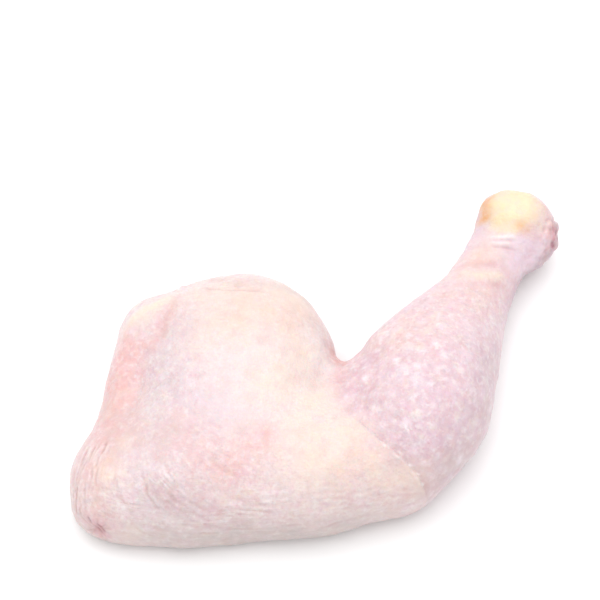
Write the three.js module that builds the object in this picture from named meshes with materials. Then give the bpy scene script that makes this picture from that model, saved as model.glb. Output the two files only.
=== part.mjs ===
// A raw chicken leg, skin on, lying on its inner side: the thigh to the left and the drumstick bent up to the right,
// cut off at the hock. It is one closed solid in millimetres, +Z up, resting on z = 0, with its origin under the
// middle of its box.
import * as THREE from "three";

// Driving dimensions.
const THIGH_TOP = 41; // height of the thigh's dome
const CALF_TOP = 42; // height of the drumstick at its thickest
const SKIN_COLOUR = 0xf3d6d0;

// How softly the masses run into one another: the length over which each join is rounded.
const FLESH_BLEND = 24; // within the thigh
const ROLL_BLEND = 7; // the loose roll of skin at the rump against the thigh
const STIFLE_BLEND = 8; // the web of skin in the crook of the knee
const FOLD_BLEND = 6; // the drumstick against the thigh
const KNUCKLE_BLEND = 5; // the knuckle against the hock
const CUT_BLEND = 3; // the rim of the cut through the hock joint
const FLOOR_BLEND = 6; // the rounded edge of the flat underside

// The thigh's masses: middle, half sizes, and the turn about Z in degrees.
const THIGH = {
  dome: { at: [-31, -31, 10], half: [31, 45, THIGH_TOP - 13], turn: -38 },
  farBulge: { at: [-28, -0.5, 13], half: [26, 25.5, 19], turn: -6 },
  nearEdge: { at: [-43, -60, 10], half: [35, 13.5, 15], turn: -1 },
  farCorner: { at: [-57, 0, 8], half: [14, 14, 14], turn: 0 },
  hipCorner: { at: [-72, -56, 8], half: [10, 13, 12], turn: 0 },
  kneeSide: { at: [9, -52, 13], half: [28, 20, 21], turn: 10 },
};
const RUMP_ROLL = { at: [-68, -19, 8], half: [8, 37, 14], turn: -12 };
const STIFLE = { at: [19, -27, 12], half: [16, 17, 19], turn: 30 };
const INNER_CALF = { at: [25, -10, 12], half: [8.5, 8, 15], turn: 35 };

// The drumstick's stations from the knee to the hock: middle, half width and half height.
const DRUMSTICK = [
  { at: [28, -50, 13], width: 18, height: 17 },
  { at: [37.8, -29.5, CALF_TOP - 23.5], width: 24.2, height: 23.5 },
  { at: [42.5, -12, 16], width: 23.2, height: 22 },
  { at: [51, 3, 14.5], width: 18, height: 17.5 },
  { at: [58, 15, 13.5], width: 14, height: 14.5 },
  { at: [63, 26, 13.5], width: 12.3, height: 12.8 },
  { at: [68, 35, 14], width: 12, height: 12 },
  { at: [73, 43, 14.5], width: 12.5, height: 13 },
];
const KNUCKLE = { at: [77.3, 47.7, 15.5], half: [16.5, 11.7, 14.5], turn: -36 };
const HEEL = { at: [80, 38.5, 11], half: [7.5, 7, 9], turn: 20 };
const CUT = { at: [91, 41, 15], facing: [0.96, -0.18, 0.15] };

const STEPS_PER_STATION = 5; // short lengths of the drumstick from one station to the next
const FACET = 3.5; // size of one facet
const CELL_RIM = 0.1; // how far a corner keeps from the sides of its cell
const SETTLE_STEPS = 4; // times each corner is drawn onto the true surface
const SLOPE_STEP = 0.05; // the step over which the slope of the distance is measured
const NOTHING = 1e-9; // a slope too small to divide by
const SPACE = { low: [-110, -100, -10], high: [110, 90, 62] }; // the block that the leg is shaped in

// Two distances joined as flesh runs together, over the length blend.
function join(a, b, blend) {
  const overlap = Math.max(blend - Math.abs(a - b), 0) / blend;
  return Math.min(a, b) - (overlap * overlap * blend) / 4;
}

function cutBy(a, b, blend) {
  return -join(-a, -b, blend);
}

// The distance to an ellipsoid, negative inside it.
function massDistance([x, y, z], { at, half, turn }) {
  const angle = THREE.MathUtils.degToRad(turn);
  const dx = x - at[0];
  const dy = y - at[1];
  const local = [
    dx * Math.cos(angle) + dy * Math.sin(angle),
    dy * Math.cos(angle) - dx * Math.sin(angle),
    z - at[2],
  ];
  const near = Math.hypot(...local.map((v, i) => v / half[i]));
  const slope = Math.hypot(...local.map((v, i) => v / half[i] ** 2));
  return slope < NOTHING ? -Math.min(...half) : (near * (near - 1)) / slope;
}

// The stations joined by smooth curves, in short lengths.
function smoothLimb(stations) {
  const line = new THREE.CatmullRomCurve3(stations.map((s) => new THREE.Vector3(...s.at)));
  const sizes = new THREE.CatmullRomCurve3(stations.map((s) => new THREE.Vector3(s.width, s.height, 0)));
  const steps = (stations.length - 1) * STEPS_PER_STATION;
  return Array.from({ length: steps + 1 }, (_, i) => {
    const size = sizes.getPoint(i / steps);
    return { at: line.getPoint(i / steps).toArray(), width: size.x, height: size.y };
  });
}

// The distance to a limb whose section is an ellipse, negative inside it.
function limbDistance([x, y, z], limb) {
  let best = Infinity;
  for (let i = 0; i + 1 < limb.length; i++) {
    const a = limb[i];
    const b = limb[i + 1];
    const along = [b.at[0] - a.at[0], b.at[1] - a.at[1]];
    const reach = (x - a.at[0]) * along[0] + (y - a.at[1]) * along[1];
    const t = THREE.MathUtils.clamp(reach / (along[0] ** 2 + along[1] ** 2), 0, 1);
    const width = THREE.MathUtils.lerp(a.width, b.width, t);
    const height = THREE.MathUtils.lerp(a.height, b.height, t);
    const dx = x - a.at[0] - along[0] * t;
    const dy = y - a.at[1] - along[1] * t;
    const dz = ((z - THREE.MathUtils.lerp(a.at[2], b.at[2], t)) * width) / height;
    best = Math.min(best, ((Math.hypot(dx, dy, dz) - width) * height) / width);
  }
  return best;
}

const drumstick = smoothLimb(DRUMSTICK);
const cutFacing = new THREE.Vector3(...CUT.facing).normalize();
const cutMiddle = new THREE.Vector3(...CUT.at);

function legDistance(p) {
  let thigh = Infinity;
  for (const mass of Object.values(THIGH)) thigh = join(thigh, massDistance(p, mass), FLESH_BLEND);
  thigh = join(thigh, massDistance(p, RUMP_ROLL), ROLL_BLEND);
  thigh = join(thigh, massDistance(p, STIFLE), STIFLE_BLEND);
  let shank = join(limbDistance(p, drumstick), massDistance(p, INNER_CALF), STIFLE_BLEND);
  for (const mass of [KNUCKLE, HEEL]) shank = join(shank, massDistance(p, mass), KNUCKLE_BLEND);
  const leg = join(thigh, shank, FOLD_BLEND);
  const beyondCut = cutFacing.dot(new THREE.Vector3(...p).sub(cutMiddle));
  return cutBy(cutBy(leg, beyondCut, CUT_BLEND), -p[2], FLOOR_BLEND);
}

function slopeAt(p, distance) {
  const here = distance(p);
  return [0, 1, 2].map((axis) => {
    const q = [...p];
    q[axis] += SLOPE_STEP;
    return (distance(q) - here) / SLOPE_STEP;
  });
}

// A point drawn onto the surface where distance is 0, without leaving its cell of the grid.
function settle(start, cellLow, distance) {
  let p = start;
  for (let step = 0; step < SETTLE_STEPS; step++) {
    const slope = slopeAt(p, distance);
    const move = distance(p) / slope.reduce((total, g) => total + g * g, NOTHING);
    p = p.map((v, n) =>
      THREE.MathUtils.clamp(v - slope[n] * move, cellLow[n] + CELL_RIM, cellLow[n] + FACET - CELL_RIM),
    );
  }
  return p;
}

// A closed mesh of the surface where distance is 0, one corner in each cell of a grid that the surface crosses.
function surfaceOf(distance, low, high) {
  const count = [0, 1, 2].map((i) => Math.ceil((high[i] - low[i]) / FACET) + 1);
  const place = (i, j, k) => (k * count[1] + j) * count[0] + i;
  const value = new Float64Array(count[0] * count[1] * count[2]);
  for (let k = 0; k < count[2]; k++)
    for (let j = 0; j < count[1]; j++)
      for (let i = 0; i < count[0]; i++)
        value[place(i, j, k)] = distance([low[0] + i * FACET, low[1] + j * FACET, low[2] + k * FACET]);

  const corner = new Map();
  const positions = [];
  for (let k = 0; k + 1 < count[2]; k++)
    for (let j = 0; j + 1 < count[1]; j++)
      for (let i = 0; i + 1 < count[0]; i++) {
        const cell = [i, j, k];
        const sum = [0, 0, 0];
        let crossings = 0;
        for (let axis = 0; axis < 3; axis++)
          for (const u of [0, 1])
            for (const v of [0, 1]) {
              const from = [0, 0, 0];
              from[(axis + 1) % 3] = u;
              from[(axis + 2) % 3] = v;
              const to = [...from];
              to[axis] = 1;
              const a = value[place(...cell.map((c, n) => c + from[n]))];
              const b = value[place(...cell.map((c, n) => c + to[n]))];
              if (a < 0 === b < 0) continue;
              const t = a / (a - b);
              for (let n = 0; n < 3; n++) sum[n] += from[n] + (to[n] - from[n]) * t;
              crossings++;
            }
        if (!crossings) continue;
        corner.set(place(...cell), positions.length / 3);
        const cellLow = cell.map((c, n) => low[n] + c * FACET);
        positions.push(...settle(sum.map((s, n) => cellLow[n] + (s / crossings) * FACET), cellLow, distance));
      }

  const faces = [];
  for (let k = 1; k + 1 < count[2]; k++)
    for (let j = 1; j + 1 < count[1]; j++)
      for (let i = 1; i + 1 < count[0]; i++)
        for (let axis = 0; axis < 3; axis++) {
          const next = [i, j, k];
          next[axis]++;
          const inside = value[place(i, j, k)] < 0;
          if (inside === value[place(...next)] < 0) continue;
          const ring = [[1, 1], [0, 1], [0, 0], [1, 0]].map(([u, v]) => {
            const cell = [i, j, k];
            cell[(axis + 1) % 3] -= u;
            cell[(axis + 2) % 3] -= v;
            return corner.get(place(...cell));
          });
          if (!inside) ring.reverse();
          faces.push(ring[0], ring[1], ring[2], ring[0], ring[2], ring[3]);
        }

  const geometry = new THREE.BufferGeometry();
  geometry.setAttribute("position", new THREE.Float32BufferAttribute(positions, 3));
  geometry.setIndex(faces);
  return geometry;
}

const geometry = surfaceOf(legDistance, SPACE.low, SPACE.high);
geometry.computeBoundingBox();
const middle = geometry.boundingBox.getCenter(new THREE.Vector3());
geometry.translate(-middle.x, -middle.y, -geometry.boundingBox.min.z);
geometry.computeVertexNormals();

const skin = new THREE.MeshStandardMaterial({ color: SKIN_COLOUR, roughness: 0.45, metalness: 0 });
const leg = new THREE.Mesh(geometry, skin);
leg.name = "leg";

const part = new THREE.Group();
part.add(leg);
export default part;
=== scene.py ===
"""A raw chicken leg, skin on: thigh and drumstick in one piece, cut off at the hock, lying on its inner side."""

import math

import bmesh
import bpy
import numpy as np
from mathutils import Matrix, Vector
from mathutils.bvhtree import BVHTree
from mathutils.kdtree import KDTree


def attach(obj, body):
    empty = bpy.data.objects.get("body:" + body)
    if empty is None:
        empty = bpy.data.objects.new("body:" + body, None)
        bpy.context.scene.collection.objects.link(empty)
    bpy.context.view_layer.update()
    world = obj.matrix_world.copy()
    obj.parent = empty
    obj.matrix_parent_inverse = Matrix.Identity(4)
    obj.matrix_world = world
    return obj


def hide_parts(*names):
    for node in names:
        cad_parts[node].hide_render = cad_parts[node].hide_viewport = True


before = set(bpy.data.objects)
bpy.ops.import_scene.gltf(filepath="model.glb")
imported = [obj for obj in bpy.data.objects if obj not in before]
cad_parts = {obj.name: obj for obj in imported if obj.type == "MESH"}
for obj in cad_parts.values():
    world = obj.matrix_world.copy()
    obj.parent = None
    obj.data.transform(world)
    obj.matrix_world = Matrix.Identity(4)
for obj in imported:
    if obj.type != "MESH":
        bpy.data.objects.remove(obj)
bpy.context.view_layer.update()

# THE FLESH IN ITS SKIN
# Muscle and fat on the leg bones, inside a loose bag of moist skin that runs unbroken from the rump to the hock.
# The broad form is smoothed from the solid, and the skin gets points close enough together to hold folds and pimples.
SKIN_STEP = 1.34  # mm between points where the skin is plain
MOST_POINTS_ABOVE = 5.0  # mm; below this the skin is out of sight and stays plain
PLAIN_THIGH = {"at": (-22.0, -14.0), "half": (21.0, 25.0), "above": 20.0}  # the thigh's smooth middle, plain too
FINEST = [
    # the spots with the finest folds, and how far each reaches: the flap, the ridges, the pucker, the hock, the cut
    ((24, -45, 32.5), 6.5), ((30, -49.5, 29), 6.5), ((34, -53, 24), 5.5), ((28.5, -39, 36.2), 3.5),
    ((-54, -55.5, 31), 8), ((-79, -63, 16.5), 7.5), ((67, 43.5, 25.5), 7.5), ((87.5, 50, 19.5), 8.5),
]
WELD_GAP = 0.01  # mm; closer points of the solid are one
EASE = (0.55, -0.57)  # a round of easing pulls points together by one share and back by the other
EASE_ROUNDS = {"whole": 14, "finer": 3}
SWELL = {"height": 0.3, "length": 19, "seed": 1}  # the flesh's broad unevenness, in mm
RIPPLE = {"height": 0.1, "length": 6.5, "seed": 2}  # and its finer one
WELT_TAIL, PATCH_TAIL = 2.6, 2.2  # how many widths away a soft edge ends
MM = 0.001

leg = bpy.data.objects.new("chicken_leg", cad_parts["leg"].data.copy())
bpy.context.scene.collection.objects.link(leg)
weld = leg.modifiers.new("weld", "WELD")
weld.merge_threshold = WELD_GAP * MM
rounding = leg.modifiers.new("rounding", "SUBSURF")
rounding.levels = 1
even = leg.modifiers.new("even", "REMESH")
even.mode = "VOXEL"
even.voxel_size = SKIN_STEP * MM
graph = bpy.context.evaluated_depsgraph_get()
skin_mesh = bpy.data.meshes.new_from_object(leg.evaluated_get(graph))
leg.modifiers.clear()
leg.data = skin_mesh


def points_of(mesh):
    """Every point of a mesh, in mm."""
    flat = np.empty(len(mesh.vertices) * 3)
    mesh.vertices.foreach_get("co", flat)
    return flat.reshape(-1, 3) / MM


def put_points(mesh, points):
    """Moves the points of a mesh to places in mm."""
    mesh.vertices.foreach_set("co", (points * MM).astype(np.float32).ravel())
    mesh.update()


def eased(mesh, rounds):
    """The mesh's points with bumps a few points wide eased out, without shrinking the whole."""
    points = points_of(mesh)
    pairs = np.empty(len(mesh.edges) * 2, np.int32)
    mesh.edges.foreach_get("vertices", pairs)
    a, b = pairs[0::2], pairs[1::2]
    count = len(points)
    neighbours = np.bincount(a, minlength=count) + np.bincount(b, minlength=count)
    for strength in EASE * rounds:
        total = np.empty_like(points)
        for axis in range(3):
            total[:, axis] = np.bincount(a, points[b, axis], count) + np.bincount(b, points[a, axis], count)
        points = points + strength * (total / neighbours[:, None] - points)
    return points


put_points(skin_mesh, eased(skin_mesh, EASE_ROUNDS["whole"]))


def in_sight(middle):
    """Whether a face shows, and lies outside the thigh's smooth middle."""
    away = math.hypot(*[(v - c) / h for v, c, h in zip(middle, PLAIN_THIGH["at"], PLAIN_THIGH["half"])])
    return middle.z > MOST_POINTS_ABOVE and (away > 1 or middle.z < PLAIN_THIGH["above"])


def finely_folded(middle):
    """Whether a face lies in one of the spots with the finest folds."""
    return any((middle - Vector(at)).length < reach for at, reach in FINEST)


for wanted in (in_sight, finely_folded):
    finer = bmesh.new()
    finer.from_mesh(skin_mesh)
    edges = {edge for face in finer.faces if wanted(face.calc_center_median() / MM) for edge in face.edges}
    bmesh.ops.subdivide_edges(finer, edges=list(edges), cuts=1, use_grid_fill=True)
    finer.to_mesh(skin_mesh)
    finer.free()
    put_points(skin_mesh, eased(skin_mesh, EASE_ROUNDS["finer"]))
skin_mesh.shade_smooth()

places = points_of(skin_mesh)
places[:, 2] = np.maximum(places[:, 2], 0)
put_points(skin_mesh, places)
facing = np.empty(len(places) * 3, np.float32)
skin_mesh.vertex_normals.foreach_get("vector", facing)
facing = facing.reshape(-1, 3).astype(float)
surface = BVHTree.FromPolygons([Vector(p) for p in places], [p.vertices[:] for p in skin_mesh.polygons])
lift = np.zeros(len(places))  # mm that each point is raised along its normal, in the end
tints = {}  # how strongly each colour or finish shows at each point, 0 to 1


def tint(name, weight, some=slice(None)):
    """Lays one tint over all or some of the points; where it already shows, the stronger stays."""
    layer = tints.setdefault(name, np.zeros(len(places)))
    np.maximum.at(layer, some, weight)


def ramp(value, low, high):
    """0 up to low, 1 from high on, and a smooth rise between them."""
    share = np.clip((value - low) / (high - low), 0, 1)
    return share * share * (3 - 2 * share)


def smooth_line(points, gap=1.0):
    """A smooth curve through points, with one of its own about every gap mm."""
    knots = np.array(points, float)
    knots = np.vstack([2 * knots[0] - knots[1], knots, 2 * knots[-1] - knots[-2]])
    out = []
    for p0, p1, p2, p3 in zip(knots, knots[1:], knots[2:], knots[3:]):
        steps = max(2, int(np.linalg.norm(p2 - p1) / gap))
        for t in np.arange(steps) / steps:
            bend = 2 * p1 + (p2 - p0) * t + (2 * p0 - 5 * p1 + 4 * p2 - p3) * t * t
            out.append((bend + (3 * p1 - p0 - 3 * p2 + p3) * t**3) / 2)
    return np.array(out + [knots[-2]])


def laid(line):
    """The line drawn onto the skin."""
    return np.array([surface.find_nearest(Vector(p))[0] for p in line])


def near(line, reach):
    """The points of the skin within reach of a line, how far off it they are, and how far along it, 0 to 1."""
    low, high = line.min(0) - reach, line.max(0) + reach
    some = np.nonzero(((places > low) & (places < high)).all(1))[0]
    gap = np.full(len(some), np.inf)
    along = np.zeros(len(some))
    for i, (a, b) in enumerate(zip(line, line[1:])):
        step = b - a
        t = np.clip((places[some] - a) @ step / max(step @ step, 1e-9), 0, 1)
        off = np.linalg.norm(places[some] - a - t[:, None] * step, axis=1)
        closer = off < gap
        gap[closer] = off[closer]
        along[closer] = (i + t[closer]) / (len(line) - 1)
    kept = gap < reach
    return some[kept], gap[kept], along[kept]


def bell(off, width):
    """1 where off is 0, falling softly to almost nothing two widths away on either side."""
    return np.exp(-((off / width) ** 2))


def dome(spot, size):
    """A bell over every point of the skin, by how far it is from one spot."""
    return bell(np.linalg.norm(places - spot, axis=1), size)


def fades(along, share=0.25):
    """1 along a stroke, fading out over a share of its length at each end."""
    return ramp(np.minimum(along, 1 - along), 0, share)


def welt(points, colour, width, height, strength=1.0, share=0.25):
    """A soft raised line in the skin, or a sunk one where height is negative, with a tint if colour names one.

    Width and height are in mm, strength is the tint's, 0 to 1, and share is how much of each end fades out.
    """
    some, gap, along = near(laid(smooth_line(points)), width * WELT_TAIL)
    weight = fades(along, share) * bell(gap, width)
    lift[some] += height * weight
    if colour:
        tint(colour, strength * weight, some)


def patch(name, strength, reach, *spots):
    """A soft patch of one tint about each spot, with its strength, 0 to 1, and its reach in mm."""
    for spot in spots:
        far = np.linalg.norm(places - spot, axis=1)
        some = np.nonzero(far < reach * PATCH_TAIL)[0]
        tint(name, strength * bell(far[some], reach), some)


def waves(length, seed, count=14):
    """A smooth random swell over the skin, about -1 to 1, whose bumps are some length mm long."""
    chance = np.random.default_rng(seed)
    total = np.zeros(len(places))
    for _ in range(count):
        way = chance.normal(size=3)
        way *= 2 * math.pi / (length * chance.uniform(0.7, 1.5) * np.linalg.norm(way))
        total += np.sin(places @ way + chance.uniform(0, 2 * math.pi))
    return total / math.sqrt(count)


swell = SWELL["height"] * waves(SWELL["length"], SWELL["seed"])
lift += swell + RIPPLE["height"] * waves(RIPPLE["length"], RIPPLE["seed"])

# THE THIGH
# The thick upper joint, under the fattest and palest skin. It is whitish at the crown, cream with fat along its knee
# side, and pinker towards the rump, where the skin is thin and the meat shows through.
THIGH_FOLD_PLAN = [
    # where the thigh's skin ends on the drumstick, seen from above
    (20, 75), (17, 40), (15, 24), (11, 6), (7.5, -3), (6, -9), (5.3, -15), (5.6, -24), (9.6, -31), (14.6, -36.6),
    (21.1, -42.3), (26.3, -46.8), (30.6, -50.2), (34.4, -54), (38, -60), (41, -70),
]

fold_plan = smooth_line([(*at, 0) for at in THIGH_FOLD_PLAN], 2.0)[:, :2]


def beyond_fold():
    """How far each point is past the fold towards the drumstick, seen from above, in mm; less than 0 on the thigh."""
    best = np.full(len(places), np.inf)
    side = np.zeros(len(places))
    for a, b in zip(fold_plan, fold_plan[1:]):
        step = b - a
        out = places[:, :2] - a
        t = np.clip(out @ step / (step @ step), 0, 1)
        off = np.linalg.norm(out - t[:, None] * step, axis=1)
        closer = off < best
        best[closer] = off[closer]
        side[closer] = np.sign(out[closer, 1] * step[0] - out[closer, 0] * step[1])
    return best * side


past_fold = beyond_fold()
x, y, z = places.T

patch("white_and_painted_light", 1, 15, (-28.5, -13.4, 39.1), (-23.2, -24.1, 37.4), (-31.7, -28.2, 37.8), (-20, -7, 38.1))
patch("cream", 1, 13, (-16.4, -19.7, 36.3), (-7.8, -6.3, 33.2), (-0.9, -24.7, 30.8), (-7.8, -38.2, 35.1))
patch("cream", 1, 12, (7.5, -39.8, 34.4), (-11.4, 15.6, 30.3), (-29.1, 12.6, 35.5), (-2, -50, 33))
patch("cream", 0.8, 8, (-43.7, 17, 31.4), (-36, 20, 30), (20, -49, 31), (28, -52, 28))
patch("cream", 0.9, 11, (-20.2, 8.1, 36.2), (-28.9, 3.1, 38), (-37.7, 3.7, 36.7), (-42.9, 0.1, 36), (-34.5, 13, 34.8))
patch("apricot", 0.6, 6, (10.8, -46.9, 33.7), (17.6, -48.5, 31.6), (7.4, -51.9, 32.6))
patch("apricot", 0.35, 9, (-3, -44, 34.5), (22, -52, 28), (-7.8, 17.8, 26.6))
patch("apricot", 0.5, 9, (-25.6, 12.6, 35.5), (-13, 7, 34), (-20.2, 8.1, 36.2), (-28.9, 3.1, 38), (-9, 14, 29))
patch(
    "peach", 0.45, 9, (-37.7, 3.7, 36.7), (-42.9, 0.1, 36), (-43, 11.7, 33.5), (-28.9, 3.1, 38), (-20.2, 8.1, 36.2),
    (-13, 7, 34), (-30, 15, 34.5),
)
patch("blush_and_shade", 0.75, 5, (-19.7, -40.2, 35.4), (-33.6, -52.5, 33))
patch("blush_and_shade", 0.8, 9, (-31.4, -51.2, 33.3), (-39.8, -47.5, 35), (-24, -44, 35), (-48, -40, 35))
patch("blush_and_shade", 0.4, 2, (-33.6, -20.6, 38.7), (-38.7, -23.7, 38.1), (0.7, -61.6, 25.4), (-12, -30, 36))
# Painted light on the thigh's edge by the crook, where it turns from the light: whiter and paler patches.
patch("white_and_painted_light", 0.8, 5, (-3.2, -2.4, 29.7), (-1.4, -5.6, 28.1), (0, -9, 26.9))
patch("pale_skin_and_highlight", 0.45, 4.5, (-3.8, -0.8, 30.3), (-2, -4.5, 28.7), (-2.6, -9, 29))
patch("apricot", 0.5, 4, (9.2, -37.6, 33.8), (11.9, -40.7, 33.9))
patch("salmon", 0.3, 4.5, (-19.7, -40.2, 35.4), (-33.6, -52.5, 33), (-29, -48, 34.4))
patch("lilac_and_shade", 1, 11, (-56.9, -10.6, 30), (-50.2, -22.8, 34.8), (-43.9, -32.6, 36.8), (-52.9, -18, 32.9))
patch("lilac_and_shade", 0.9, 11, (-48.7, -34.8, 35.8), (-51.8, -45.3, 34.3), (-58.5, -51.6, 31.8), (-50, 2, 33))
patch("grey_and_shade", 0.24, 6, (-53.8, 2.4, 31.9), (-55.3, -5.3, 31.3), (-56.1, -12.8, 30.5), (-57, -22, 30.5), (-60, -30, 30))

# THE EDGE OF THE THIGH'S SKIN
# The fatty skin of the thigh ends in a thin, slightly wavy flap that laps over the drumstick's thinner skin. It runs
# from the crook of the knee slantwise down to the kneecap, standing crisp in the middle and melting away at both ends.
# A thin painted shadow of the flap lies on the skin just beyond it, and pale shreds along it carry painted highlights.
FLAP = {"height": 0.5, "width": 3.2, "gully": 0.25, "gully_at": 0.5, "gully_width": 1.3}  # all in mm
FLAP_RIM = {"at": -0.9, "width": 0.8, "strength": 0.9}  # the pale fat along the edge
# FLAP_SHADE is a painted shadow of the flap on the darker skin just beyond it
FLAP_SHADE = {"at": 1.0, "width": 0.9, "strength": 0.25}  # and the darker skin just beyond it
CRISPEST = 0.55  # half the width of the change of colour where the edge is crisp
SHREDS = [
    # pale shreds of torn film along the edge, brightened as painted highlights
    [(19.5, -42.2, 33.4), (20.8, -43.1, 33), (21.8, -43.7, 32.8)],
    [(23.1, -45.1, 32.2), (24.8, -46.3, 31.6), (26.5, -47.1, 31), (28.2, -48.4, 29.9)],
    [(25.0, -44.6, 32.4), (26.2, -45.4, 32.1), (27.4, -46.9, 31)],
    [(28.6, -48.4, 29.9), (29.6, -48.9, 29.3), (30.3, -49.5, 28.7)],
    [(29.2, -49.7, 29), (31, -51.2, 27), (32.8, -52.6, 25)],
    [(31.4, -50.3, 27.6), (32.3, -51, 26.6), (33.4, -50.7, 26.5)],
    [(33.4, -52.6, 24.4), (34.6, -53.4, 22.4)],
]

ragged_fold = past_fold + (0.22 * waves(9, 5) + 0.1 * waves(2.4, 6))
crisp = ramp(y, -60, -52) * (1 - ramp(y, -40, -24)) * ramp(z, 12, 22)
lift += FLAP["height"] * crisp * bell(np.minimum(ragged_fold, 0), FLAP["width"]) * (ragged_fold < 0)
lift -= FLAP["gully"] * crisp * bell(ragged_fold - FLAP["gully_at"], FLAP["gully_width"])
softness = CRISPEST + 3.5 * ramp(y, -34, -14) + 5 * (1 - ramp(y, -58, -48)) + 4 * (1 - ramp(z, 10, 22))
tint("drumstick", ramp(ragged_fold / softness, -1, 1))
# The pale fat along the edge, and a painted shadow of the flap on the darker skin just beyond it.
for name, line in [("cream", FLAP_RIM), ("mauve_and_shade", FLAP_SHADE)]:
    tint(name, line["strength"] * crisp * bell(ragged_fold - line["at"], line["width"]))

chance = np.random.default_rng(7)
for shred in SHREDS:
    welt(shred, "pale_skin_and_highlight", width=chance.uniform(0.4, 0.6), height=0.3, strength=chance.uniform(0.4, 0.7), share=0.45)

# THE CROOK OF THE KNEE
# Thin, loose skin dips between thigh and calf, where the knee is bent. It has no fat under it, so it shows pink, and
# its pink and red deepen into painted shade low in the crook and along the sunk line by the fold.
patch("blush_and_shade", 0.9, 5, (6.8, -4.5, 20), (9, -3, 20), (5, -1, 16), (10, -6, 22))
patch("blush_and_shade", 0.8, 5, (9.5, -13, 28), (13, -10, 28), (6.2, -15.4, 27.8))
patch("blush_and_shade", 0.72, 6, (14, -19, 31), (11, -20, 30.5), (17, -12, 31))
patch("red_flush_and_shade", 0.9, 4.5, (6.8, -5, 20), (5.4, -1, 17), (9.5, -1.5, 17))
patch("red_flush_and_shade", 0.8, 7, (8, 2, 8), (10, 8, 6))
welt(
    [(4.5, -3, 20), (6.8, -6.5, 23.1), (6, -12.8, 26.8), (5.3, -17.4, 28)], "blush_and_shade", width=2.2, height=-0.3,
    strength=0.35,
)

# THE DRUMSTICK
# Thin, see-through skin tight over dark meat, so that it is mauve-pink, peach where fat lies under it towards the
# ankle, and purplish over the calf's far side. Rows of feather pimples stand in it as pale dots.
patch("peach", 0.8, 10, (45.8, 14.3, 32.5), (37.9, 3.7, 36.7), (55, 15.5, 30.5), (27.2, -4.2, 36.6))
patch("peach", 0.9, 9, (52, 28, 26.7), (59, 27, 27), (58, 20, 28), (59, 35, 25))
patch(
    "apricot", 0.5, 4.5, (58.4, 37.4, 25.7), (55.3, 34.4, 25.6), (60.4, 40.5, 25.6), (48.7, 36.6, 17.8),
    (46.7, 33.5, 17.8),
)
# Grey, brown and mauve patches darken the right and lower sides: partly the skin's own colour, partly painted shade
# where the drumstick turns from the light.
patch("mauve_and_shade", 0.58, 9, (39.8, -41.3, 33.7), (45, -36.3, 35), (50.5, -36, 30.4), (30, -41, 34.5))
patch(
    "mauve_and_shade", 0.65, 7, (53.8, -19, 34.8), (57.1, -9.2, 31.2), (26.2, -44.5, 32.5), (56, -28, 29), (21.1, -38, 34.5),
    (59, -16, 27), (61, -4, 24),
)
patch("brown_and_shade", 0.7, 9, (47.3, -44.2, 23.6), (42, -50, 22), (52, -38, 20), (36.8, -53.7, 19.8))
patch(
    "grey_and_shade", 0.4, 7, (56.7, -25.7, 29), (54.3, -30.3, 30.4), (58.7, -15.8, 28.6), (60, -8.9, 26.8), (46.8, -45.7, 20.3),
    (43.7, -46.5, 24.7),
)
patch("peach", 0.85, 8, (22, 0, 31), (31, 4, 33), (28, -5, 37), (36, 0, 37))
patch("apricot", 0.25, 6, (29, -3, 37), (33, -8, 40), (37, -12, 41))
patch(
    "mauve_and_shade", 0.72, 5.5, (17, -8.5, 30.5), (13.5, -12.5, 30), (9, -18.2, 29.5), (10.3, -21.4, 30.5), (13, -21.4, 31.9),
    (11.6, -24.1, 31.2), (15, -26, 33),
)
patch(
    "mauve_and_shade", 0.42, 9, (29.7, -25.9, 40.7), (34.7, -29.6, 40.6), (26.5, -19.8, 40.2), (36.6, -22.6, 41.9),
    (31.7, -12, 40),
)

# FEATHER PIMPLES
# Each feather leaves a raised pimple with a dimple where its quill sat. They stand close on the drumstick, in rough
# rows, and fainter on the thin skin towards the rump.
PIMPLES = [
    # mm between them, mm high, mm in radius, and how pale they show
    {"gap": 5.0, "height": 0.34, "size": 1.75, "strength": 1.1, "seed": 11},
    {"gap": 3.1, "height": 0.16, "size": 1.0, "strength": 0.5, "seed": 13},
    {"gap": 4.2, "height": 0.1, "size": 1.1, "strength": 0.3, "seed": 12},
]
CALF = {"at": (26, -28, 38), "reach": 30}  # where they show most
FAINTEST = 0.08  # they stay away where the skin's share of them is lower
TRIES = 1.6  # how likely a point is tried, for each unit of that share
DIMPLE = {"depth": 0.35, "narrower": 2.6}  # shares of the pimple's own height and width

on_calf = dome(CALF["at"], CALF["reach"])
on_drumstick = tints["drumstick"] * ramp(z, 4, 12) * (1 - 0.6 * ramp(y, -6, 22)) * ramp(past_fold, 1, 5)
on_drumstick *= 0.45 + 0.75 * on_calf
on_rump = (1 - ramp(x, -55, -25)) * (1 - ramp(y, -5, 12)) * ramp(z, 6, 14)


def scattered(where, gap, seed):
    """Points of the skin at least gap mm apart, more of them where the weight is higher."""
    chance = np.random.default_rng(seed)
    cells = {}
    chosen = []
    for i in chance.permutation(np.nonzero(where > FAINTEST)[0]):
        if chance.uniform() > where[i] * TRIES:
            continue
        cell = tuple((places[i] // gap).astype(int))
        around = [(cell[0] + a - 1, cell[1] + b - 1, cell[2] + c - 1) for a, b, c in np.ndindex(3, 3, 3)]
        if any(np.sum((places[j] - places[i]) ** 2) < gap * gap for key in around for j in cells.get(key, [])):
            continue
        cells.setdefault(cell, []).append(i)
        chosen.append(i)
    return chosen


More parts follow.
